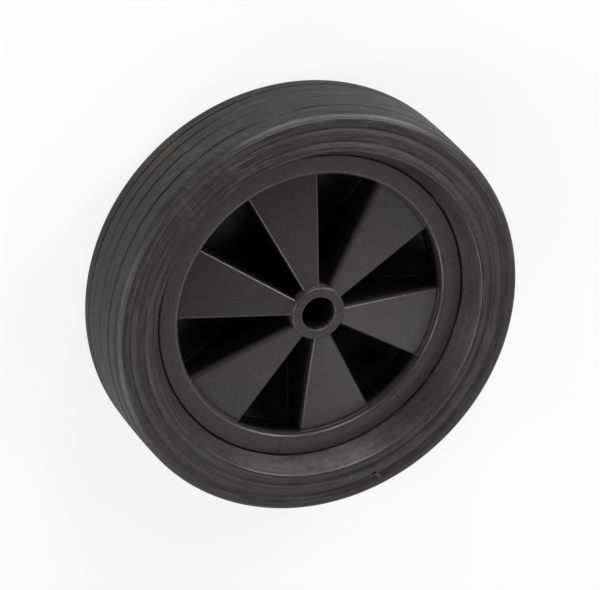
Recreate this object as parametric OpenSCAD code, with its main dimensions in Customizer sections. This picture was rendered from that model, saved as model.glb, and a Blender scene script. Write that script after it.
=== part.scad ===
// Solid-rubber-tyred wheel with a one-piece moulded plastic centre.
// The axis is +Z and the origin is the middle of the wheel; the face that is
// seen first looks along +Z. Both sidewalls and both flanges are alike, so the
// wheel lies flat on the inner bead of its rear sidewall.

/* [Tyre] */
// Outer diameter at the middle of the tread
tyre_d = 200; // [190:1:230]
// Width over the inner beads of the two sidewalls
tyre_w = 49.2; // [46:0.2:60]
// How far the tread falls away from its middle to its shoulders
tread_crown = 0.3; // [0:0.1:1]
// Radius that rounds each shoulder
shoulder_r = 5.6; // [4:0.1:6]
// How far the shoulder's flat strip lies behind the inner bead
shoulder_drop = 1.5; // [0.8:0.1:3]
// Width of the flat strip between the outer groove and the shoulder's rounding
shoulder_strip_w = 0.7; // [0.4:0.1:2]

/* [Sidewall] */
// Depth of the outer V groove below the shoulder's strip
outer_groove_h = 0.6; // [0.3:0.1:2]
// Width of the gentle side of the outer groove
outer_flank_w = 2.4; // [1.5:0.1:3]
// Width of the top of the outer bead
outer_bead_w = 3.1; // [2:0.1:4]
// How far the outer bead starts behind the inner bead
outer_bead_drop = 0.7; // [0.3:0.1:1]
// How far the top of the outer bead falls towards the shoulder
outer_bead_fall = 0.2; // [0:0.1:0.6]
// Depth of the inner V groove below the inner bead
inner_groove_h = 1.5; // [1.2:0.1:2.4]
// Width of the gentle side of the inner groove
inner_flank_w = 2.7; // [1.5:0.1:3.5]
// Width of the top of the inner bead
inner_bead_w = 3.05; // [2:0.05:4]
// Width of the steep side of both grooves
groove_wall_w = 0.8; // [0.5:0.1:1.2]
// Radius that rounds the top of both steep sides
groove_edge_r = 0.3; // [0.1:0.05:0.4]
// Radius that rounds the inner edge of the inner bead
bead_r = 0.9; // [0.3:0.1:1.2]
// How far the inner bead lies outside the foot of the sidewall
sidewall_run = 5; // [3:0.5:7]

/* [Tread] */
// Distance of the foremost tread groove behind the front inner bead
front_groove_setback = 11.7; // [8:0.1:13]
// Distance of the rearmost tread groove before the rear inner bead
rear_groove_setback = 11.6; // [8:0.1:13]
// Height of the second tread groove above the middle of the tread
second_groove_z = 2.1; // [1:0.1:5]
// Depth of the third tread groove below the middle of the tread
third_groove_z = 6.1; // [2:0.1:7]
// Width of a tread groove at its mouth
tread_groove_w = 1.2; // [0.6:0.1:2]
// Depth of a tread groove
tread_groove_h = 0.9; // [0.3:0.1:2]

/* [Rim] */
// Width over the two rim flanges
rim_w = 25; // [22:0.5:30]
// Height of a rim flange, from its inner to its outer edge
flange_h = 9.8; // [8:0.1:12]
// Thickness of each rim flange
flange_t = 3.2; // [2.5:0.1:4]
// Wall of the rim barrel
barrel_t = 3.8; // [3:0.1:4.4]
// Radius that rounds the inner edge of each flange
lip_r = 2.2; // [1:0.1:2.6]
// Radius that rounds the outer edge of each flange
flange_edge_r = 0.7; // [0.3:0.1:1]

/* [Web] */
// Number of spoke panels on each face
spokes = 6; // [6:1:6]
// Angle that one spoke panel of the front face spans
spoke_angle = 30.5; // [28:0.5:34]
// Width that a front spoke panel has beyond its angle
spoke_extra_w = 1.06; // [0.4:0.02:1.6]
// Thickness of the panels
panel_t = 3.7; // [3:0.1:4.5]
// Thickness of the walls between the pockets of the two faces
wall_t = 3.2; // [2.6:0.1:4]
// How far the panels lie behind the flange face at the rim
rim_setback = 3.4; // [1:0.1:4]
// How far the panels lie behind the hub's end at the hub
hub_setback = 2.2; // [1:0.1:4]
// Radius of the fillet at the foot of the rim wall in a pocket
pocket_fillet = 1; // [0.5:0.1:1.4]

/* [Hub] */
// Outer diameter of the hub
hub_d = 26; // [24:0.5:32]
// Length of the hub
hub_l = 43; // [42:0.5:46]
// Diameter of the axle bore
bore_d = 16; // [12:0.5:18]
// Radius that rounds the hub's outer edges
hub_edge_r = 0.8; // [0.3:0.1:1.2]
// Chamfer at each end of the bore
bore_chamfer = 0.4; // [0.2:0.1:1]

/* [Fits] */
// Radial clearance between the tyre and the rim barrel
seat_gap = 0.1; // [0.05:0.05:0.3]
// Gap between the flange's outer edge and the foot of the sidewall
foot_gap = 0.35; // [0.2:0.05:0.6]

/* [Hidden] */
$fn = 96;

// Steps of an arc on a turned outline
arc_steps = 6;
// Share of a groove's mouth that its flat floor takes
groove_floor = 0.3;
// How far a cutter runs past the face that it cuts
past = 2;

tyre_r = tyre_d / 2;
crest_z = tyre_w / 2;

// Radii of the sidewall's edges, from the shoulder in to the rim
shoulder_foot_r = tyre_r - tread_crown - shoulder_r;
outer_wall_r = shoulder_foot_r - shoulder_strip_w;
outer_floor_r = outer_wall_r - groove_wall_w;
outer_bead_r = outer_floor_r - outer_flank_w;
inner_wall_r = outer_bead_r - outer_bead_w;
inner_floor_r = inner_wall_r - groove_wall_w;
inner_bead_r = inner_floor_r - inner_flank_w;
sidewall_r = inner_bead_r - inner_bead_w;
foot_r = sidewall_r - sidewall_run;

// Heights of the sidewall's edges above the middle plane
outer_bead_z = crest_z - outer_bead_drop;
shoulder_top_z = crest_z - shoulder_drop;
shoulder_z = shoulder_top_z - shoulder_r;

flange_r = foot_r - foot_gap;
rim_inner_r = flange_r - flange_h;
barrel_r = rim_inner_r + barrel_t;
rim_z = rim_w / 2;
channel_z = rim_z - flange_t;
hub_r = hub_d / 2;
hub_z = hub_l / 2;
bore_r = bore_d / 2;

pitch = 360 / spokes;
pocket_angle = pitch - spoke_angle;
// Distance from the axis at which a front pocket's two walls would meet
pocket_apex = spoke_extra_w / 2 / sin(pocket_angle / 2);
// The same for a rear pocket, which lies inside the walls of a front spoke
rear_pocket_apex = (wall_t - spoke_extra_w / 2) / sin(spoke_angle / 2);

// Heights of a spoke panel's outer face above the middle plane, and its rise between
panel_rim_z = rim_z - rim_setback;
panel_hub_z = hub_z - hub_setback;
panel_slope = (panel_hub_z - panel_rim_z) / (rim_inner_r - hub_r);

// Height of a spoke panel's outer face at a distance r from the axis
function panel_z(r) = panel_rim_z + panel_slope * (rim_inner_r - r);

// Points of an arc in the outline plane, radius first and height second
function arc(centre, r, from, to) =
    [for (i = [0 : arc_steps]) centre + r * [cos(from + (to - from) * i / arc_steps),
                                             sin(from + (to - from) * i / arc_steps)]];

// Radius of the tread at a height above the middle plane
function tread_r(z) = tyre_r - tread_crown * pow(z / shoulder_z, 2);

// Mirror image of an outline in the middle plane, in reverse order
function mirrored(outline) =
    [for (i = [len(outline) - 1 : -1 : 0]) [outline[i][0], -outline[i][1]]];

// Four points of a groove that is cut into the tread at a height z
function tread_groove(z) = [
    [tread_r(z + tread_groove_w / 2), z + tread_groove_w / 2],
    [tread_r(z) - tread_groove_h, z + tread_groove_w * groove_floor / 2],
    [tread_r(z) - tread_groove_h, z - tread_groove_w * groove_floor / 2],
    [tread_r(z - tread_groove_w / 2), z - tread_groove_w / 2]];

// Rounded top of a groove's steep side, at a radius r and a height z
function groove_edge(r, z) =
    arc([r + groove_edge_r, z - groove_edge_r], groove_edge_r, 180, 90);

// Section of one sidewall, from the tyre's seat out round the shoulder
sidewall = concat(
    [[barrel_r + seat_gap, channel_z],
     [foot_r, channel_z],
     [foot_r, rim_z]],
    arc([sidewall_r + bead_r, crest_z - bead_r], bead_r, 180, 90),
    [[inner_bead_r, crest_z],
     [inner_floor_r, crest_z - inner_groove_h]],
    groove_edge(inner_wall_r, outer_bead_z),
    [[outer_bead_r, outer_bead_z - outer_bead_fall],
     [outer_floor_r, shoulder_top_z - outer_groove_h]],
    groove_edge(outer_wall_r, shoulder_top_z),
    arc([shoulder_foot_r, shoulder_z], shoulder_r, 90, 0));

// The four grooves of the tread, from front to rear
tread = concat(
    tread_groove(crest_z - front_groove_setback),
    tread_groove(second_groove_z),
    tread_groove(-third_groove_z),
    tread_groove(rear_groove_setback - crest_z));

// Front half of the rim's section, from the barrel's bore round the flange to its seat
rim_half = concat(
    [[rim_inner_r, 0]],
    arc([rim_inner_r + lip_r, rim_z - lip_r], lip_r, 180, 90),
    arc([flange_r - flange_edge_r, rim_z - flange_edge_r], flange_edge_r, 90, 0),
    [[flange_r, channel_z],
     [barrel_r, channel_z],
     [barrel_r, 0]]);

// Solid rubber tyre, which snaps over the flanges into the rim's channel
module tyre() {
    color("#2e2c2e")
    rotate_extrude()
    polygon(concat(sidewall, tread, mirrored(sidewall)));
}

// Turned ring with the channel that the tyre sits in
module rim() {
    rotate_extrude()
    polygon(concat(rim_half, mirrored(rim_half)));
}

// Tube that the axle passes through
module hub() {
    rotate_extrude()
    polygon(concat(
        [[bore_r, 0]],
        [[bore_r, hub_z - bore_chamfer]],
        [[bore_r + bore_chamfer, hub_z]],
        arc([hub_r - hub_edge_r, hub_z - hub_edge_r], hub_edge_r, 90, 0),
        arc([hub_r - hub_edge_r, hub_edge_r - hub_z], hub_edge_r, 0, -90),
        [[bore_r + bore_chamfer, -hub_z]],
        [[bore_r, bore_chamfer - hub_z]]));
}

// Disc from the hub to the rim, as thick as the panels of both faces reach
module web_blank() {
    in_r = (bore_r + hub_r) / 2;
    out_r = rim_inner_r + barrel_t / 2;
    rotate_extrude()
    polygon([[in_r, panel_z(in_r)], [out_r, panel_z(out_r)],
             [out_r, -panel_z(out_r)], [in_r, -panel_z(in_r)]]);
}

// Wedge between two walls that meet at apex, centred on the direction of +X
module wedge(angle, apex) {
    reach = rim_inner_r + past;
    half_w = (reach - apex) * tan(angle / 2);
    linear_extrude(height = hub_l + 2 * past, center = true)
    polygon([[apex, 0], [reach, -half_w], [reach, half_w]]);
}

// Turned space above the floor of a front pocket, with a fillet at the rim wall
module pocket_space() {
    floor_in = panel_t - panel_z(hub_r);
    floor_out = panel_t - panel_z(rim_inner_r - pocket_fillet);
    rotate_extrude()
    polygon(concat(
        [[hub_r, floor_in]],
        arc([rim_inner_r - pocket_fillet, floor_out + pocket_fillet], pocket_fillet, -90, 0),
        [[rim_inner_r, hub_z + past],
         [hub_r, hub_z + past]]));
}

// Pockets of one face, cut down to the panels of the other face
module pockets(angle, apex, turn) {
    intersection() {
        pocket_space();
        for (i = [0 : spokes - 1])
            rotate([0, 0, turn + i * pitch])
            wedge(angle, apex);
    }
}

// Web of alternating front and rear panels joined by radial walls
module web() {
    difference() {
        web_blank();
        pockets(pocket_angle, pocket_apex, pitch / 2);
        mirror([0, 0, 1])
        pockets(spoke_angle, rear_pocket_apex, 0);
    }
}

// One-piece plastic centre of rim, web and hub
module wheel_centre() {
    color("#343234")
    union() {
        rim();
        difference() {
            web();
            cylinder(h = hub_l + 2 * past, r = (bore_r + hub_r) / 2, center = true);
        }
        hub();
    }
}

tyre();
wheel_centre();
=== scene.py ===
"""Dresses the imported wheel: a solid rubber tyre on a moulded plastic centre."""

import math

import bpy
import numpy as np
from bpy.props import FloatProperty, FloatVectorProperty, PointerProperty
from mathutils import Matrix, Vector


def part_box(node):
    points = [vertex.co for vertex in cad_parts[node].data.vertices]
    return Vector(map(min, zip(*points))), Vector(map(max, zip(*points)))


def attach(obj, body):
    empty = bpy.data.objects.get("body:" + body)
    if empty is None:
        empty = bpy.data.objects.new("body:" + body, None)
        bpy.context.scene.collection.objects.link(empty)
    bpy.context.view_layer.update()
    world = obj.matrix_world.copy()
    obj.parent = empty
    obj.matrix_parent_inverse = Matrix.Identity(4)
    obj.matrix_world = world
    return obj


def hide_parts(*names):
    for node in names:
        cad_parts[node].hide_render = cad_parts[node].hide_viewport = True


bl_info = {
    "name": "Rubber-tyred wheel",
    "version": (1, 0, 0),
    "blender": (4, 5, 0),
    "location": "View3D > Sidebar > Wheel",
    "description": "Solid rubber tyre on a one-piece moulded plastic wheel centre",
    "category": "Add Mesh",
}

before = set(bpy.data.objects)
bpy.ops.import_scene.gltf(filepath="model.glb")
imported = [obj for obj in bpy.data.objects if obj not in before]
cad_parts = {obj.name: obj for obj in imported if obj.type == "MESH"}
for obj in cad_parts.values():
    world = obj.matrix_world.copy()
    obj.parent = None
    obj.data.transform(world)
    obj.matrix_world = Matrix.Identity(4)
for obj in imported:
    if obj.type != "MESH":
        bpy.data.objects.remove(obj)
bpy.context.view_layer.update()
MM = 0.001
TYRE_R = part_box("tyre")[1].x / MM
TYRE_HALF_W = round(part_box("tyre")[1].z / MM, 1)
HUB_HALF_L = round(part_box("wheel_centre")[1].z / MM, 1)
# How the camera sees the wheel: the axle's lean, its direction in the picture, the
# turn that puts a front panel on +X, and the wheel's middle in mm from the lens
TILT, WAY, TURN = 32.55, 46.62, math.radians(3.15)
MIDDLE = (0.77, 0.34, 2517.0)


# ---------------------------------------------------------------- colours and nodes


def linear(hex_colour):
    """sRGB hex such as 2f2d2e as linear red, green, blue and alpha."""
    parts = np.array([int(hex_colour[i : i + 2], 16) / 255 for i in (0, 2, 4)])
    rgb = np.where(parts <= 0.04045, parts / 12.92, ((parts + 0.055) / 1.055) ** 2.4)
    return (*(float(c) for c in rgb), 1.0)


def add_node(tree, kind, links=(), **settings):
    """Adds a node. A setting names a property of the node, or one of its inputs by name or in_INDEX; links pairs an input with an output socket."""
    made = tree.nodes.new(kind)
    for key, value in settings.items():
        if key.startswith("in_"):
            made.inputs[int(key[3:])].default_value = value
        elif hasattr(made, key):
            setattr(made, key, value)
        else:
            made.inputs[key.replace("_", " ")].default_value = value
    for socket, source in links:
        tree.links.new(source, made.inputs[socket])
    return made


def new_material(name):
    """An empty node material with its output, as material and tree."""
    made = bpy.data.materials.new(name)
    made.use_nodes = True
    made.node_tree.nodes.clear()
    return made, made.node_tree


def calc(tree, operation, *values):
    """Output of a Math node. Each value is a number or a socket."""
    links = [(i, v) for i, v in enumerate(values) if isinstance(v, bpy.types.NodeSocket)]
    fixed = {f"in_{i}": v for i, v in enumerate(values) if not isinstance(v, bpy.types.NodeSocket)}
    return add_node(tree, "ShaderNodeMath", links=links, operation=operation, **fixed).outputs[0]


def vector_calc(tree, operation, *values, out="Vector"):
    """Output of a Vector Math node. Each value is a vector or a socket."""
    links = [(i, v) for i, v in enumerate(values) if isinstance(v, bpy.types.NodeSocket)]
    fixed = {f"in_{i}": v for i, v in enumerate(values) if not isinstance(v, bpy.types.NodeSocket)}
    return add_node(tree, "ShaderNodeVectorMath", links=links, operation=operation, **fixed).outputs[out]


def ramp(tree, value, low, high, start=0.0, end=1.0):
    """Smooth step from start at low to end at high."""
    links = [("Value", value)]
    return add_node(
        tree, "ShaderNodeMapRange", links=links, interpolation_type="SMOOTHSTEP",
        in_1=low, in_2=high, in_3=start, in_4=end,
    ).outputs[0]


def band(tree, value, low, high, soft):
    """1 between low and high, falling to 0 within soft outside them."""
    return calc(tree, "MULTIPLY", ramp(tree, value, low - soft, low), ramp(tree, value, high, high + soft, 1.0, 0.0))


def wheel_place(tree):
    """Where the shaded point is on the wheel: radius and height in mm, and direction from the axle."""
    at = add_node(tree, "ShaderNodeTexCoord").outputs["Object"]
    mm = vector_calc(tree, "MULTIPLY", at, (1 / MM, 1 / MM, 1 / MM))
    flat = vector_calc(tree, "MULTIPLY", mm, (1, 1, 0))
    return {
        "mm": mm,
        "radius": vector_calc(tree, "LENGTH", flat, out="Value"),
        "height": add_node(tree, "ShaderNodeSeparateXYZ", links=[(0, mm)]).outputs[2],
        "way": vector_calc(tree, "NORMALIZE", flat),
    }


def sector(tree, place, middle, half, soft):
    """1 within half degrees of the direction middle, falling to 0 within soft beyond."""
    a = math.radians(middle)
    near = vector_calc(tree, "DOT_PRODUCT", place["way"], (math.cos(a), math.sin(a), 0), out="Value")
    return ramp(tree, near, math.cos(math.radians(half + soft)), math.cos(math.radians(half)))


def around(tree, place, turn_scale, cross_scale):
    """Coordinate for marks that run round the wheel: turn_scale sets their length, cross_scale their width."""
    turned = vector_calc(tree, "SCALE", place["way"])
    turned.node.inputs["Scale"].default_value = turn_scale
    across = calc(tree, "MULTIPLY", calc(tree, "SUBTRACT", place["radius"], place["height"]), cross_scale)
    lift = add_node(tree, "ShaderNodeCombineXYZ", links=[(2, across)]).outputs[0]
    return vector_calc(tree, "ADD", turned, lift)


def noise(tree, vector, scale, detail=2.0, rough=0.5):
    """Value of a noise texture, with a mean of about one half."""
    links = [("Vector", vector)]
    return add_node(tree, "ShaderNodeTexNoise", links=links, Scale=scale, Detail=detail, Roughness=rough).outputs[0]


def blend(tree, amount, first, second):
    """Mix of two colours; each is a colour or a socket."""
    made = add_node(tree, "ShaderNodeMix", data_type="RGBA", links=[(0, amount)])
    for index, colour in ((6, first), (7, second)):
        if isinstance(colour, bpy.types.NodeSocket):
            tree.links.new(colour, made.inputs[index])
        else:
            made.inputs[index].default_value = colour
    return made.outputs[2]


# ---------------------------------------------------------------- shape functions


def rounded(points, steps=5):
    """A polyline with its corners rounded.

    points are (x, y, cut): at each corner the line leaves its leg cut mm before
    the corner, follows the parabola that has the corner as its middle handle,
    and joins the next leg cut mm after it. A cut of 0 keeps the corner.
    """
    p = np.array(points, float)
    corner, cut = p[:, :2], p[:, 2:]
    before = np.roll(corner, 1, axis=0) - corner
    after = np.roll(corner, -1, axis=0) - corner
    before[0], after[-1] = after[0], before[-1]
    a = corner + cut * before / np.linalg.norm(before, axis=1, keepdims=True)
    c = corner + cut * after / np.linalg.norm(after, axis=1, keepdims=True)
    t = np.linspace(0, 1, steps + 1)[None, :, None]
    bend = (1 - t) ** 2 * a[:, None] + 2 * t * (1 - t) * corner[:, None] + t**2 * c[:, None]
    keep = np.ones((len(p), steps + 1), bool)
    keep[cut[:, 0] == 0, 1:] = False
    return bend[keep]


def spaced(line, longest, lead=0.12):
    """Adds points to a polyline so that no leg is longer than longest, one value or one a leg.

    A leg longer than eight leads also gets a point one lead from each of its
    ends, so that shading turns only beside the corner.
    """
    step = np.diff(line, axis=0)
    size = np.linalg.norm(step, axis=1)
    out = []
    for start, leg, length, limit in zip(line[:-1], step, size, np.broadcast_to(longest, size.shape)):
        share = [0.0]
        if length > 8 * lead:
            inner = max(1, math.ceil((length - 2 * lead) / limit))
            share += list(np.linspace(lead / length, 1 - lead / length, inner + 1))
        out.append(start + np.outer(share, leg))
    return np.vstack(out + [line[-1:]])


def ring_mesh(name, x, y, z, smooth=True):
    """A closed tube surface from grids of x, y and z in mm.

    Rows run round the section and columns round the axle, and both close on
    themselves. Each face joins four neighbours of the grid.
    """
    rows, cols = z.shape
    here = np.arange(rows * cols).reshape(rows, cols)
    right = np.roll(here, -1, axis=1)
    up = np.roll(here, -1, axis=0)
    diag = np.roll(right, -1, axis=0)
    faces = np.stack([here, right, diag, up], -1).reshape(-1, 4)
    mesh = bpy.data.meshes.new(name)
    mesh.vertices.add(rows * cols)
    mesh.vertices.foreach_set("co", (np.stack([x, y, z], -1) * MM).astype(np.float32).ravel())
    mesh.loops.add(faces.size)
    mesh.loops.foreach_set("vertex_index", faces.astype(np.int32).ravel())
    mesh.polygons.add(len(faces))
    mesh.polygons.foreach_set("loop_start", np.arange(0, faces.size, 4, dtype=np.int32))
    mesh.polygons.foreach_set("use_smooth", np.full(len(faces), smooth))
    mesh.update(calc_edges=True)
    mesh.validate()
    made = bpy.data.objects.new(name, mesh)
    bpy.context.scene.collection.objects.link(made)
    return made


# ---------------------------------------------------------------- tyre


# Radii between which the front sidewall needs a fine mesh for its nick
NICK_SPAN = (87.5, 97)


def tyre_section(s):
    """Closed outline of the tyre as radius and height in mm, from the seat round the front.

    Each sidewall is a rounded polyline: seat, foot, slope, flat inner bead, V groove,
    outer bead, V groove and shoulder strip, then a quarter circle for the shoulder.
    The tread joins the two sidewalls and has four grooves.
    """
    crest, outer = s.width / 2, s.diameter / 2
    strip = crest - s.shoulder_drop
    radius = s.shoulder_radius
    foot = outer - 24.45
    r = foot + np.array([5.0, 8.05, 10.75, 11.55, 14.65, 17.05, 17.85])
    bead = crest - s.outer_bead_drop
    wall = [
        (69.3, 0, 0),
        (69.3, 9.3, 0),
        (foot, 9.3, 0),
        (foot, 12.5, 0.25),
        (r[0] + 0.1, crest - 0.8, 0.7),
        (r[0] + 1.2, crest, 0.7),
        (r[1] + 0.1, crest - 0.05, 1.6),
        (r[2], crest - s.inner_groove_depth, 0.25),
        (r[3] + 0.1, bead - 0.05, 0.35),
        (r[4] + 0.2, bead - 0.15, 1.6),
        (r[5], strip - s.outer_groove_depth, 0.25),
        (r[6] + 0.1, strip, 0.35),
    ]
    turn = np.radians([90, 84, 78, 72, 69, 67.5, 66, 64.5, 63, 60, 54, 48, 42, 36, 30, 24, 18, 12, 6, 0])
    raised = radius + s.ridge * np.clip(1 - np.abs(np.degrees(turn) - 66) / 2, 0, 1)
    centre = (outer - s.crown - radius, strip - radius)
    shoulder = np.stack([centre[0] + raised * np.cos(turn), centre[1] + raised * np.sin(turn)], -1)
    tread = []
    grooves = (crest - s.groove_setback, s.second_groove, -s.third_groove, s.rear_setback - crest)
    for at in grooves:
        top = outer - s.crown * (at / centre[1]) ** 2
        tread += [
            (top, at + 0.6, 0.2),
            (top - s.tread_groove_depth, at + 0.2, 0.1),
            (top - s.tread_groove_depth, at - 0.2, 0.1),
            (top, at - 0.6, 0.2),
        ]
    side = np.vstack([rounded(wall, 3), shoulder])
    middle = rounded(tread, 2)
    at = (side[1:, 0] + side[:-1, 0]) / 2
    front = spaced(side, np.where((at > NICK_SPAN[0]) & (at < NICK_SPAN[1]), 0.45, 3.0))
    back = spaced(side[::-1] * [1, -1], 4.0)
    return np.vstack([front[:-1], spaced(np.vstack([side[-1:], middle, back[:1]]), 4.0)[:-1], back[:-1]])


# The nick in the front sidewall: each mark's direction in degrees, radius, half length round the
# wheel, half width across it, turn in degrees and height, in mm. A cut, the tab that it lifted
# across the outer groove, and the gap behind the tab
NICK = (
    (65.9, 90.35, 2.1, 0.6, -14, -1.5),
    (66.9, 93.1, 0.75, 1.7, 0, 0.8),
    (67.0, 95.6, 1.1, 0.35, 0, -0.6),
)


def nick_height(turn, r):
    """Height that the nick adds at directions turn in radians and radii r: each mark is a bell over an ellipse."""
    lift = np.zeros(np.broadcast_shapes(turn.shape, r.shape))
    for at, radius, length, width, skew, height in NICK:
        along = r * (turn - math.radians(at))
        across = r - radius
        c, s = math.cos(math.radians(skew)), math.sin(math.radians(skew))
        u, v = (c * along + s * across) / length, (c * across - s * along) / width
        lift += height * np.exp(-((u * u + v * v) ** 2))
    return lift


class TyreSettings(bpy.types.PropertyGroup):
    """Sizes and colours of the tyre."""

    diameter: FloatProperty(name="Diameter", description="Outer diameter in mm", default=TYRE_R * 2)
    width: FloatProperty(name="Width", description="Width over the inner beads in mm", default=TYRE_HALF_W * 2)
    crown: FloatProperty(name="Crown", description="Fall of the tread to its shoulders in mm", default=0.3)
    shoulder_radius: FloatProperty(name="Shoulder radius", description="Radius of each shoulder in mm", default=4.7)
    shoulder_drop: FloatProperty(name="Shoulder drop", description="Fall from the inner bead to the shoulder in mm", default=1.5)
    outer_bead_drop: FloatProperty(name="Outer bead drop", description="Fall from the inner to the outer bead in mm", default=0.7)
    inner_groove_depth: FloatProperty(name="Inner groove depth", description="Depth of the inner V groove in mm", default=1.5)
    outer_groove_depth: FloatProperty(name="Outer groove depth", description="Depth of the outer V groove in mm", default=0.6)
    ridge: FloatProperty(name="Parting ridge", description="Height of the mould's fine ridge on each shoulder in mm", default=0.18)
    groove_setback: FloatProperty(name="Foremost tread groove", description="Distance from the front inner bead in mm", default=12.6)
    second_groove: FloatProperty(name="Second tread groove", description="Height above the middle in mm", default=1.4)
    third_groove: FloatProperty(name="Third tread groove", description="Depth below the middle in mm", default=6.7)
    rear_setback: FloatProperty(name="Rearmost tread groove", description="Distance from the rear inner bead in mm", default=10.9)
    tread_groove_depth: FloatProperty(name="Tread groove depth", description="Depth of the tread grooves in mm", default=0.9)
    rubber: FloatVectorProperty(name="Sidewall", description="Colour of the rubber on the sidewalls", subtype="COLOR", size=4, default=linear("272426"))
    # Also the colour of the painted shade at the slope's foot
    tread: FloatVectorProperty(name="Tread", description="Colour of the rubber on the tread", subtype="COLOR", size=4, default=linear("0f0e0f"))
    bloom: FloatVectorProperty(name="Bloom", description="Colour of the grey bloom on the slope", subtype="COLOR", size=4, default=linear("2c292b"))
    # Also the colour of the painted highlights in the pale streaks, and of the dust on the faces
    rub_marks_and_highlights: FloatVectorProperty(name="Rub marks", description="Colour of the rub marks on the tread", subtype="COLOR", size=4, default=linear("4a484a"))
    scuff: FloatVectorProperty(name="Scuffs", description="Colour of the pale scuffs and scrapes", subtype="COLOR", size=4, default=linear("6c6a6c"))
    stain: FloatVectorProperty(name="Stain", description="Colour of the brown stain", subtype="COLOR", size=4, default=linear("3c2c2a"))


def rubber_material(s):
    """Vulcanised rubber out of a polished mould: black, with pale streaks on the tread that are partly rub marks and
    partly painted highlights along fine ribs.

    A grey bloom covers the slope beside the rim, which nothing rubs. One stretch of it is
    scuffed pale, and the shoulder opposite has light scrapes.
    """
    made, tree = new_material("vulcanised_rubber")
    place = wheel_place(tree)
    radius, height = place["radius"], place["height"]
    face = ramp(tree, calc(tree, "ABSOLUTE", height), 20.5, 22.5)
    slope = calc(tree, "MULTIPLY", ramp(tree, radius, 80.6, 81.4, 1.0, 0.0), ramp(tree, radius, 75.6, 76.2))
    mottle = noise(tree, place["mm"], 0.35, 5.0, 0.65)
    patches = noise(tree, place["mm"], 0.06, 2.0, 0.5)
    streaks = noise(tree, around(tree, place, 5.0, 1.0), 1.0, 5.0, 0.7)

    base = blend(tree, face, tuple(s.tread), tuple(s.rubber))
    bloom = calc(tree, "MULTIPLY", slope, ramp(tree, mottle, 0.3, 0.7, 0.7, 1.3))
    base = blend(tree, bloom, base, tuple(s.bloom))

    # Pale circular streaks, which come and go round the tread and the beads: partly rub marks and partly painted
    # highlights along fine ribs
    rub_marks_and_highlights = calc(tree, "MULTIPLY", ramp(tree, streaks, 0.5, 0.7), ramp(tree, patches, 0.35, 0.6, 0.2, 0.6))
    rub_marks_and_highlights = calc(tree, "MULTIPLY", rub_marks_and_highlights, calc(tree, "SUBTRACT", 1.0, slope))
    base = blend(tree, rub_marks_and_highlights, base, tuple(s.rub_marks_and_highlights))
    dusty = calc(tree, "MULTIPLY", face, ramp(tree, mottle, 0.5, 0.75, 0.0, 0.3))
    base = blend(tree, dusty, base, tuple(s.rub_marks_and_highlights))

    # Pale mottled scuffs on the slope
    blotches = noise(tree, around(tree, place, 20.0, 0.35), 1.0, 6.0, 0.75)
    scuffs = calc(tree, "MULTIPLY", sector(tree, place, 44, 17, 16), ramp(tree, blotches, 0.35, 0.75, 0.12, 0.36))
    scuffs = calc(tree, "MULTIPLY", scuffs, band(tree, radius, 78.3, 79.3, 1.6))
    scuffs = calc(tree, "MULTIPLY", scuffs, calc(tree, "MULTIPLY", slope, ramp(tree, mottle, 0.35, 0.6, 0.4, 1.0)))
    base = blend(tree, scuffs, base, tuple(s.scuff))

    # Slanting scrapes over the shoulder and the tread
    a = math.radians(260)
    sideways = vector_calc(tree, "DOT_PRODUCT", place["mm"], (-math.sin(a), math.cos(a), 0), out="Value")
    lean = calc(tree, "ADD", calc(tree, "MULTIPLY", sideways, 0.42), calc(tree, "MULTIPLY", height, 0.24))
    scrape = add_node(tree, "ShaderNodeCombineXYZ", links=[(0, lean), (1, calc(tree, "MULTIPLY", height, 0.2))]).outputs[0]
    scrape = ramp(tree, noise(tree, scrape, 1.0, 5.0, 0.7), 0.47, 0.75, 0.0, 0.24)
    scrape = calc(tree, "MULTIPLY", scrape, sector(tree, place, 260, 11, 5))
    scrape = calc(tree, "MULTIPLY", scrape, band(tree, height, -4.0, 23.2, 2.0))
    base = blend(tree, scrape, base, tuple(s.scuff))

    # Rust-brown stain near the tread's rear edge
    stain = calc(tree, "MULTIPLY", sector(tree, place, 267, 4, 4), band(tree, height, -17.0, -8.0, 3.0))
    base = blend(tree, calc(tree, "MULTIPLY", stain, 0.3), base, tuple(s.stain))

    # Painted shade where the slope dives behind the rim, a darker spot at its foot near 65 degrees, and a patch without
    # bloom, all blended towards the tread colour
    shade = calc(tree, "MULTIPLY", face, ramp(tree, radius, 75.9, 76.9, 0.85, 0.0))
    foot_spot = calc(tree, "MULTIPLY", sector(tree, place, 65, 1.4, 1.2), ramp(tree, radius, 76.4, 77.4, 0.8, 0.0))
    bare = calc(tree, "MULTIPLY", calc(tree, "MULTIPLY", sector(tree, place, 191, 9, 5), slope), 0.45)
    shade = calc(tree, "MAXIMUM", calc(tree, "MAXIMUM", shade, calc(tree, "MULTIPLY", foot_spot, face)), bare)
    base = blend(tree, shade, base, tuple(s.tread))

    grain = noise(tree, place["mm"], 2.2, 2.0, 0.6)
    dull = ramp(tree, streaks, 0.3, 0.7, 0.36, 0.58)
    bump = add_node(tree, "ShaderNodeBump", links=[("Height", grain)], Strength=0.25, Distance=0.00008)
    shine = calc(tree, "MULTIPLY", ramp(tree, face, 0.0, 1.0, 0.39, 0.5), ramp(tree, streaks, 0.3, 0.7, 0.7, 1.3))
    shader = add_node(
        tree,
        "ShaderNodeBsdfPrincipled",
        links=[("Base Color", base), ("Roughness", dull), ("Specular IOR Level", shine), ("Normal", bump.outputs[0])],
        IOR=1.5,
    )
    add_node(tree, "ShaderNodeOutputMaterial", links=[("Surface", shader.outputs[0])])
    return made


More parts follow.
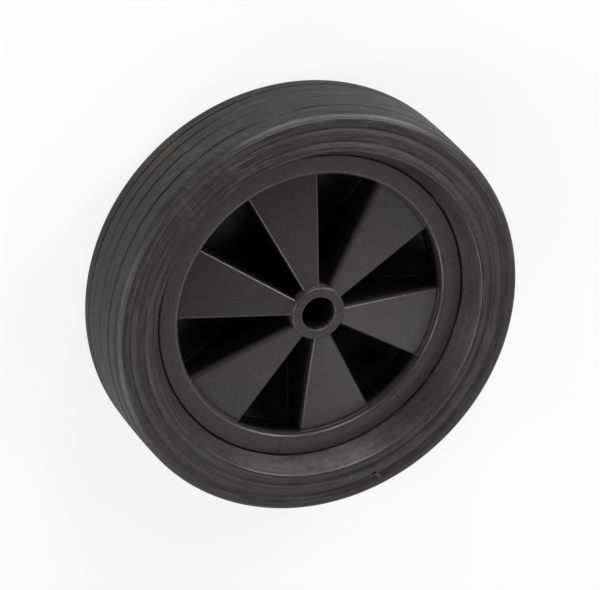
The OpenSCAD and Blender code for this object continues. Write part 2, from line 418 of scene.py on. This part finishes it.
class WHEEL_OT_tyre(bpy.types.Operator):
    """Makes the rubber tyre on its CAD node"""

    bl_idname = "wheel.tyre"
    bl_label = "Tyre"
    NICK_ABOVE = 19.0

    def execute(self, context):
        s = context.scene.wheel_tyre
        section = tyre_section(s)
        turn = np.radians(np.union1d(np.linspace(0, 360, 324, endpoint=False), np.linspace(62.1, 70.1, 49)))[None, :]
        r, z = section[:, :1], section[:, 1:] + 0 * turn
        z = z + np.where(z > self.NICK_ABOVE, nick_height(turn, r), 0)
        made = ring_mesh("tyre_rubber", r * np.cos(turn), r * np.sin(turn), z)
        made.data.materials.append(rubber_material(s))
        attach(made, "root")
        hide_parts("tyre")
        return {"FINISHED"}


# ---------------------------------------------------------------- wheel centre


class CentreSettings(bpy.types.PropertyGroup):
    """Sizes and colours of the plastic centre."""

    flange_d: FloatProperty(name="Flange diameter", description="Outer diameter of the rim in mm", default=150.4)
    rim_width: FloatProperty(name="Rim width", description="Width over the flanges in mm", default=25.0)
    inner_d: FloatProperty(name="Rim inner diameter", description="Inner diameter of the rim in mm", default=130.8)
    lip_radius: FloatProperty(name="Lip radius", description="Rounding of the rim's inner edge in mm", default=2.2)
    hub_d: FloatProperty(name="Hub diameter", description="Outer diameter of the hub in mm", default=26.0)
    hub_length: FloatProperty(name="Hub length", description="Length of the hub in mm", default=HUB_HALF_L * 2)
    bore_d: FloatProperty(name="Bore", description="Diameter of the axle bore in mm", default=16.0)
    spoke_angle: FloatProperty(name="Spoke angle", description="Angle that a front panel spans in degrees", default=30.5)
    spoke_extra: FloatProperty(name="Spoke offset", description="Offset of each panel edge from its radial line in mm", default=0.53)
    wall: FloatProperty(name="Wall", description="Thickness of the radial walls in mm", default=3.2)
    panel: FloatProperty(name="Panel", description="Thickness of the panels in mm", default=3.7)
    panel_edge: FloatProperty(name="Panel edge radius", description="Rounding of the panel edges in mm", default=1.1)
    hub_fillet: FloatProperty(name="Hub fillet", description="Fillet between the hub and the web in mm", default=0.2)
    foot_fillet: FloatProperty(name="Foot fillet", description="Fillet at the foot of each wall in mm", default=0.5)
    plastic: FloatVectorProperty(name="Plastic", description="Colour of the plastic", subtype="COLOR", size=4, default=linear("353233"))
    # Painted shade: this colour darkens the pockets and the bore, and it also colours the dark etched grain and the
    # fine lines across the ring
    pocket_shade_and_dark_marks: FloatVectorProperty(name="Pockets", description="Colour of the plastic deep in the pockets", subtype="COLOR", size=4, default=linear("141213"))
    ring: FloatVectorProperty(name="Ring", description="Colour of the rim's turned ring", subtype="COLOR", size=4, default=linear("3f3b3d"))
    plum: FloatVectorProperty(name="Plum stain", description="Colour of the faint stains on the web", subtype="COLOR", size=4, default=linear("50282f"))
    burr: FloatVectorProperty(name="Burr", description="Colour of the torn burr at the bore's edge", subtype="COLOR", size=4, default=linear("504d4e"))


def web_columns(s, offset, flip):
    """Columns round one face of the web, as arrays for one full turn.

    Each radial wall has columns at a distance d from its plane: over the rounded
    edge of the panel, down the wall and over the fillet at its foot. A column's
    height is a mix of panel and floor plus a lift. Between walls the angle runs
    evenly from one wall's column to the next.
    """
    n_edge, n_wall, n_foot, n_fill = 6, 4, 5, 15
    e, f = s.panel_edge, s.foot_fillet
    q = np.linspace(0, np.pi / 2, n_edge)
    edge = np.stack([-e + e * np.sin(q), np.ones(n_edge), -e + e * np.cos(q)], -1)
    m = np.linspace(1, 0, n_wall + 2)[1:-1]
    face = np.stack([0 * m, m, -e * m + f * (1 - m)], -1)
    q = np.linspace(0, np.pi / 2, n_foot)
    foot = np.stack([f - f * np.cos(q), 0 * q, f - f * np.sin(q)], -1)
    out_wall = np.vstack([edge, face, foot])
    n_w = len(out_wall)
    share = np.concatenate([[0.012], np.linspace(0, 1, n_fill)[1:-1], [0.988]])
    first, second = (out_wall[::-1], out_wall) if not flip else (out_wall, out_wall[::-1])
    n_pitch = 2 * (n_w + len(share))
    line, side, dist, mix, lift, left, right, part, edges = ([] for _ in range(9))
    own_edge = (np.arange(n_w) < n_edge).astype(float)
    for k in range(6):
        base = k * n_pitch
        for turn_deg, sign, rows in ((60 * k - s.spoke_angle / 2, -1, first), (60 * k + s.spoke_angle / 2, 1, second)):
            start = base + (0 if sign < 0 else n_w + len(share))
            line += [turn_deg] * n_w
            side += [sign] * n_w
            dist += list(offset + (-rows[:, 0] if flip else rows[:, 0]))
            mix += list(rows[:, 1])
            lift += list(rows[:, 2])
            edges += list(own_edge if rows is out_wall else own_edge[::-1])
            own = list(range(start, start + n_w))
            left += own
            right += own
            part += [0.0] * n_w
            on_top = (sign < 0) != flip
            line += [0.0] * len(share)
            side += [0] * len(share)
            dist += [0.0] * len(share)
            mix += [1.0 if on_top else 0.0] * len(share)
            lift += [0.0] * len(share)
            edges += [0.0] * len(share)
            left += [start + n_w - 1] * len(share)
            right += [start + n_w + len(share)] * len(share)
            part += list(share)
    total = 6 * n_pitch
    right = [i % total for i in right]
    return {
        "line": np.radians(line),
        "side": np.array(side),
        "dist": np.array(dist),
        "mix": np.array(mix),
        "lift": np.array(lift),
        "left": np.array(left),
        "right": np.array(right),
        "part": np.array(part),
        "edge": np.array(edges),
    }


def column_angles(c, r):
    """Angle of each column at radii r: a wall column stays at its distance from the wall's plane, and a filling column lies between its two neighbours."""
    at = c["line"] + c["side"] * np.arcsin(np.clip(c["dist"] / r[:, None], -1, 1))
    low, high = at[:, c["left"]], at[:, c["right"]]
    high = np.where(high < low - 1e-9, high + 2 * np.pi, high)
    return low + c["part"] * (high - low)


def centre_face(s, columns):
    """Radius, angle and height grids of one face, from the bore's middle out to the flange's edge.

    The web's height is its panel or floor cone, the hub and the rim wall rise from
    it over a small fillet, and beyond them the section is the same all round.
    """
    bore, hub, inner, flange = s.bore_d / 2, s.hub_d / 2, s.inner_d / 2, s.flange_d / 2
    hub_z, rim_z, lip, f = s.hub_length / 2, s.rim_width / 2, s.lip_radius, 0.6
    q = np.linspace(0, np.pi / 2, 6)

    def panel(r):
        return rim_z - 3.4 + (hub_z - rim_z + 1.2) * (inner - r) / (inner - hub)

    def web(r):
        top = panel(r)[:, None]
        floor = s.panel - top
        return top * columns["mix"] + floor * (1 - columns["mix"]) + columns["lift"]

    inside = spaced(rounded([(bore, 0, 0), (bore, hub_z - 0.4, 0.15), (bore + 0.4, hub_z, 0.15), (hub, hub_z, 1.3), (hub, hub_z - 2, 0)], 5), 3)
    top_z = inside[-1, 1]
    inside_angle = column_angles(columns, np.full(len(inside), hub))
    r_foot = hub + (1 - np.cos(q)) * s.hub_fillet
    z_foot = web(r_foot) + (1 - np.sin(q))[:, None] * s.hub_fillet
    rise = np.linspace(1, 0, 7)[1:-1, None]
    z_rise = rise * top_z + (1 - rise) * z_foot[0]
    r_web = np.linspace(hub + s.hub_fillet, inner - f, 22)[1:-1]
    r_out = inner - f + f * np.sin(q)
    z_out = web(r_out) + (f - f * np.cos(q))[:, None]
    lip_line = spaced(rounded([(inner, rim_z - lip - 0.6, 0), (inner, rim_z, lip), (flange, rim_z, 0.7), (flange, rim_z - 3.2, 0), (69.2, rim_z - 3.2, 0), (69.2, 0, 0)], 8), 2.5)
    climb = np.linspace(0, 1, 5)[1:-1, None]
    z_climb = climb * lip_line[0, 1] + (1 - climb) * z_out[-1]
    n = len(columns["mix"])
    r = np.concatenate([inside[:, 0], np.full(len(rise), hub), r_foot, r_web, r_out, np.full(len(climb), inner), lip_line[:, 0]])
    z = np.vstack([
        np.repeat(inside[:, 1:], n, 1), z_rise, z_foot, web(r_web), z_out, z_climb, np.repeat(lip_line[:, 1:], n, 1),
    ])
    angle = column_angles(columns, np.clip(r, hub, inner))
    on_web = (r > hub) & (r < inner)
    return r, angle, z, on_web[:, None] * columns["edge"]


# Directions of the fine dark lines across the rim's front ring, in degrees
RING_LINES = (35, 87, 149)
# Faint plum stains: direction in degrees, radius in mm, half width in degrees and strength
PLUM_STAINS = ((240, 38, 4, 0.22), (43, 15, 9, 0.35))


def plastic_material(s):
    """Polypropylene moulded in a fine-etched tool: satin dark grey and paler on the turned ring, with painted shade
    that darkens it deep in the pockets and in the bore.
    """
    made, tree = new_material("moulded_polypropylene")
    place = wheel_place(tree)
    ring = ramp(tree, place["radius"], 65.5, 66.5)
    # Painted shade deep in the pockets and in the bore, where the specular level is lowered too. The panels are cones,
    # so what lies deep is judged at the height that it would have at the axle
    cone = calc(tree, "ADD", calc(tree, "ABSOLUTE", place["height"]), calc(tree, "MULTIPLY", place["radius"], 0.195))
    deep = calc(tree, "MULTIPLY", calc(tree, "SUBTRACT", 1.0, ring), ramp(tree, cone, 17.4, 20.6, 1.0, 0.0))
    bore = ramp(tree, place["radius"], 8.1, 8.5, 1.0, 0.0)
    deep = calc(tree, "ADD", calc(tree, "MULTIPLY", deep, calc(tree, "SUBTRACT", 1.0, bore)), calc(tree, "MULTIPLY", bore, 0.8))
    base = blend(tree, ring, tuple(s.plastic), tuple(s.ring))
    lip = band(tree, place["radius"], 65.6, 67.2, 0.5)
    edge = add_node(tree, "ShaderNodeAttribute", attribute_name="edge").outputs["Fac"]
    polished = calc(tree, "MAXIMUM", calc(tree, "MULTIPLY", lip, ramp(tree, place["height"], 10.0, 10.8)), edge)
    rough = ramp(tree, polished, 0.0, 1.0, 0.42, 0.34)
    clouds = noise(tree, place["mm"], 0.12, 4.0, 0.6)
    base = blend(tree, ramp(tree, clouds, 0.35, 0.7, 0.0, 0.25), base, tuple(s.ring))
    etched = noise(tree, place["mm"], 0.8, 3.0, 0.6)
    base = blend(tree, ramp(tree, etched, 0.35, 0.65, 0.0, 0.35), base, tuple(s.pocket_shade_and_dark_marks))
    # Painted shade deep in the pockets and in the bore
    base = blend(tree, deep, base, tuple(s.pocket_shade_and_dark_marks))

    # Torn pale burr round part of the bore's edge, and fine dark lines across the ring
    torn = noise(tree, place["mm"], 0.9, 3.0, 0.7)
    ragged = calc(tree, "ADD", place["height"], calc(tree, "MULTIPLY", torn, 12.0))
    burr = calc(tree, "MULTIPLY", ramp(tree, ragged, 25.8, 26.6), sector(tree, place, 105, 55, 14))
    burr = calc(tree, "MULTIPLY", burr, ramp(tree, place["radius"], 8.5, 8.9, 0.6, 0.0))
    base = blend(tree, burr, base, tuple(s.burr))
    for at, radius, wide, amount in PLUM_STAINS:
        plum = calc(tree, "MULTIPLY", sector(tree, place, at, wide, wide), band(tree, place["radius"], radius - 1, radius + 1, 5.0))
        base = blend(tree, calc(tree, "MULTIPLY", calc(tree, "MULTIPLY", plum, clouds), amount), base, tuple(s.plum))
    for at in RING_LINES:
        line = calc(tree, "MULTIPLY", sector(tree, place, at, 0.15, 0.45), calc(tree, "MULTIPLY", ring, 0.5))
        base = blend(tree, line, base, tuple(s.pocket_shade_and_dark_marks))
    grain = noise(tree, place["mm"], 1.2, 3.0, 0.6)
    bump = add_node(tree, "ShaderNodeBump", links=[("Height", grain)], Strength=0.5, Distance=0.00012)
    shine = ramp(tree, deep, 0.0, 1.0, 0.5, 0.2)
    shader = add_node(
        tree,
        "ShaderNodeBsdfPrincipled",
        links=[("Base Color", base), ("Roughness", rough), ("Specular IOR Level", shine), ("Normal", bump.outputs[0])],
        IOR=1.5,
    )
    add_node(tree, "ShaderNodeOutputMaterial", links=[("Surface", shader.outputs[0])])
    return made


class WHEEL_OT_centre(bpy.types.Operator):
    """Makes the one-piece plastic centre on its CAD node"""

    bl_idname = "wheel.centre"
    bl_label = "Wheel centre"

    def execute(self, context):
        s = context.scene.wheel_centre
        front = centre_face(s, web_columns(s, s.spoke_extra, False))
        back = centre_face(s, web_columns(s, s.spoke_extra - s.wall, True))
        r_f, a_f, z_f, e_f = front
        r_b, a_b, z_b, e_b = back
        middle = (a_f[-1:] + a_b[-1:]) / 2
        a_f[-1:], a_b[-1:] = middle, middle
        bore_middle = (a_f[:1] + a_b[:1]) / 2
        a_f[:1], a_b[:1] = bore_middle, bore_middle
        r = np.concatenate([r_f, r_b[-2:0:-1]])[:, None]
        angle = np.vstack([a_f, a_b[-2:0:-1]])
        z = np.vstack([z_f, -z_b[-2:0:-1]])
        made = ring_mesh("moulded_centre", r * np.cos(angle), r * np.sin(angle), z)
        edge = np.vstack([e_f, e_b[-2:0:-1]])
        made.data.attributes.new("edge", "FLOAT", "POINT").data.foreach_set("value", edge.astype(np.float32).ravel())
        made.data.materials.append(plastic_material(s))
        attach(made, "root")
        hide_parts("wheel_centre")
        return {"FINISHED"}


# ---------------------------------------------------------------- stage


class StageSettings(bpy.types.PropertyGroup):
    """Colour of the studio's floor."""

    floor: FloatVectorProperty(name="Floor", description="Colour of the floor", subtype="COLOR", size=4, default=linear("f4f4f4"))


# Groups of equal softboxes: directions round the axle and height above the floor in degrees, size in m and
# watts each. A low key, a low fill, and high ones all round except on the camera's side
LAMP_GROUPS = (
    ((180, 225), 13, 0.6, 16.0),
    ((0, 315), 13, 0.6, 9.0),
    ((0, 45, 90, 135, 180, 225, 315), 38, 0.7, 3.4),
)
LAMP_DISTANCE = 1.6


def picture_axes():
    """The camera's right, up and back axes and its place in mm, in the row frame.

    The axle leans TILT away from the line of sight, towards WAY in the picture,
    and the wheel's middle lies at MIDDLE to the right, down and ahead of the camera.
    """
    t, d = math.radians(TILT), math.radians(WAY)
    axle = np.array([math.sin(t) * math.cos(d), math.sin(t) * math.sin(d), -math.cos(t)])
    across = np.array([-math.sin(d), math.cos(d), 0.0])
    along = np.cross(axle, across)
    x = math.cos(TURN) * across + math.sin(TURN) * along
    y = np.cross(axle, x)
    to_row = np.stack([x, y, axle])
    return (to_row * [1, -1, -1]).T, -to_row @ np.array(MIDDLE)


class WHEEL_OT_stage(bpy.types.Operator):
    """Makes the floor, lamps and camera"""

    bl_idname = "wheel.stage"
    bl_label = "Stage"

    def execute(self, context):
        scene = context.scene
        s = scene.wheel_stage
        (right, up, back), place = picture_axes()
        mesh = bpy.data.meshes.new("studio_floor")
        low = -TYRE_HALF_W * MM
        mesh.from_pydata([(-6, -6, low), (6, -6, low), (6, 6, low), (-6, 6, low)], [], [(0, 1, 2, 3)])
        floor = bpy.data.objects.new("studio_floor", mesh)
        scene.collection.objects.link(floor)
        made, tree = new_material("white_paper_floor")
        shader = add_node(tree, "ShaderNodeBsdfPrincipled", Base_Color=tuple(s.floor), Roughness=0.9)
        glow = add_node(tree, "ShaderNodeEmission", Color=linear("ffffff"), Strength=1.0)
        path = add_node(tree, "ShaderNodeLightPath")
        share = calc(tree, "MULTIPLY", path.outputs["Is Camera Ray"], 0.8)
        mix = add_node(tree, "ShaderNodeMixShader", links=[(0, share), (1, shader.outputs[0]), (2, glow.outputs[0])])
        add_node(tree, "ShaderNodeOutputMaterial", links=[("Surface", mix.outputs[0])])
        mesh.materials.append(made)

        world = bpy.data.worlds.new("studio")
        world.use_nodes = True
        world.node_tree.nodes["Background"].inputs[0].default_value = linear("ffffff")
        world.node_tree.nodes["Background"].inputs[1].default_value = 0.0
        scene.world = world
        lamps = [(azimuth, *rest) for azimuths, *rest in LAMP_GROUPS for azimuth in azimuths]
        for azimuth, rise, size, power in lamps:
            name = f"softbox_{azimuth}_{rise}"
            data = bpy.data.lights.new(name, "AREA")
            data.shape = "DISK"
            data.size = size
            data.energy = power
            lamp = bpy.data.objects.new(name, data)
            scene.collection.objects.link(lamp)
            a, e = math.radians(azimuth), math.radians(rise)
            to = Vector((math.cos(a) * math.cos(e), math.sin(a) * math.cos(e), math.sin(e)))
            lamp.location = to * LAMP_DISTANCE
            lamp.rotation_euler = to.to_track_quat("Z", "Y").to_euler()

        data = bpy.data.cameras.new("camera")
        data.sensor_width = 36
        data.lens = 325.65
        data.clip_start, data.clip_end = 0.1, 20
        camera = bpy.data.objects.new("camera", data)
        scene.collection.objects.link(camera)
        camera.matrix_world = Matrix([[*axis, at] for axis, at in zip(np.stack([right, up, back], 1).tolist(), (place * MM).tolist())] + [[0, 0, 0, 1]])
        scene.camera = camera
        scene.view_settings.view_transform = "Standard"
        return {"FINISHED"}


class WHEEL_PT_panel(bpy.types.Panel):
    """Lists the wheel's pieces and their sizes"""

    bl_idname = "WHEEL_PT_panel"
    bl_label = "Wheel"
    bl_space_type = "VIEW_3D"
    bl_region_type = "UI"
    bl_category = "Wheel"

    def draw(self, context):
        for title, group in (("wheel.tyre", "wheel_tyre"), ("wheel.centre", "wheel_centre"), ("wheel.stage", "wheel_stage")):
            box = self.layout.box()
            box.operator(title)
            settings = getattr(context.scene, group)
            for name in settings.__annotations__:
                box.prop(settings, name)


CLASSES = (TyreSettings, CentreSettings, StageSettings, WHEEL_OT_tyre, WHEEL_OT_centre, WHEEL_OT_stage, WHEEL_PT_panel)


def register():
    for made in CLASSES:
        bpy.utils.register_class(made)
    bpy.types.Scene.wheel_tyre = PointerProperty(type=TyreSettings)
    bpy.types.Scene.wheel_centre = PointerProperty(type=CentreSettings)
    bpy.types.Scene.wheel_stage = PointerProperty(type=StageSettings)


def unregister():
    del bpy.types.Scene.wheel_stage, bpy.types.Scene.wheel_centre, bpy.types.Scene.wheel_tyre
    for made in reversed(CLASSES):
        bpy.utils.unregister_class(made)


def main():
    register()
    bpy.ops.wheel.tyre()
    bpy.ops.wheel.centre()
    bpy.ops.wheel.stage()


if __name__ == "__main__":
    main()
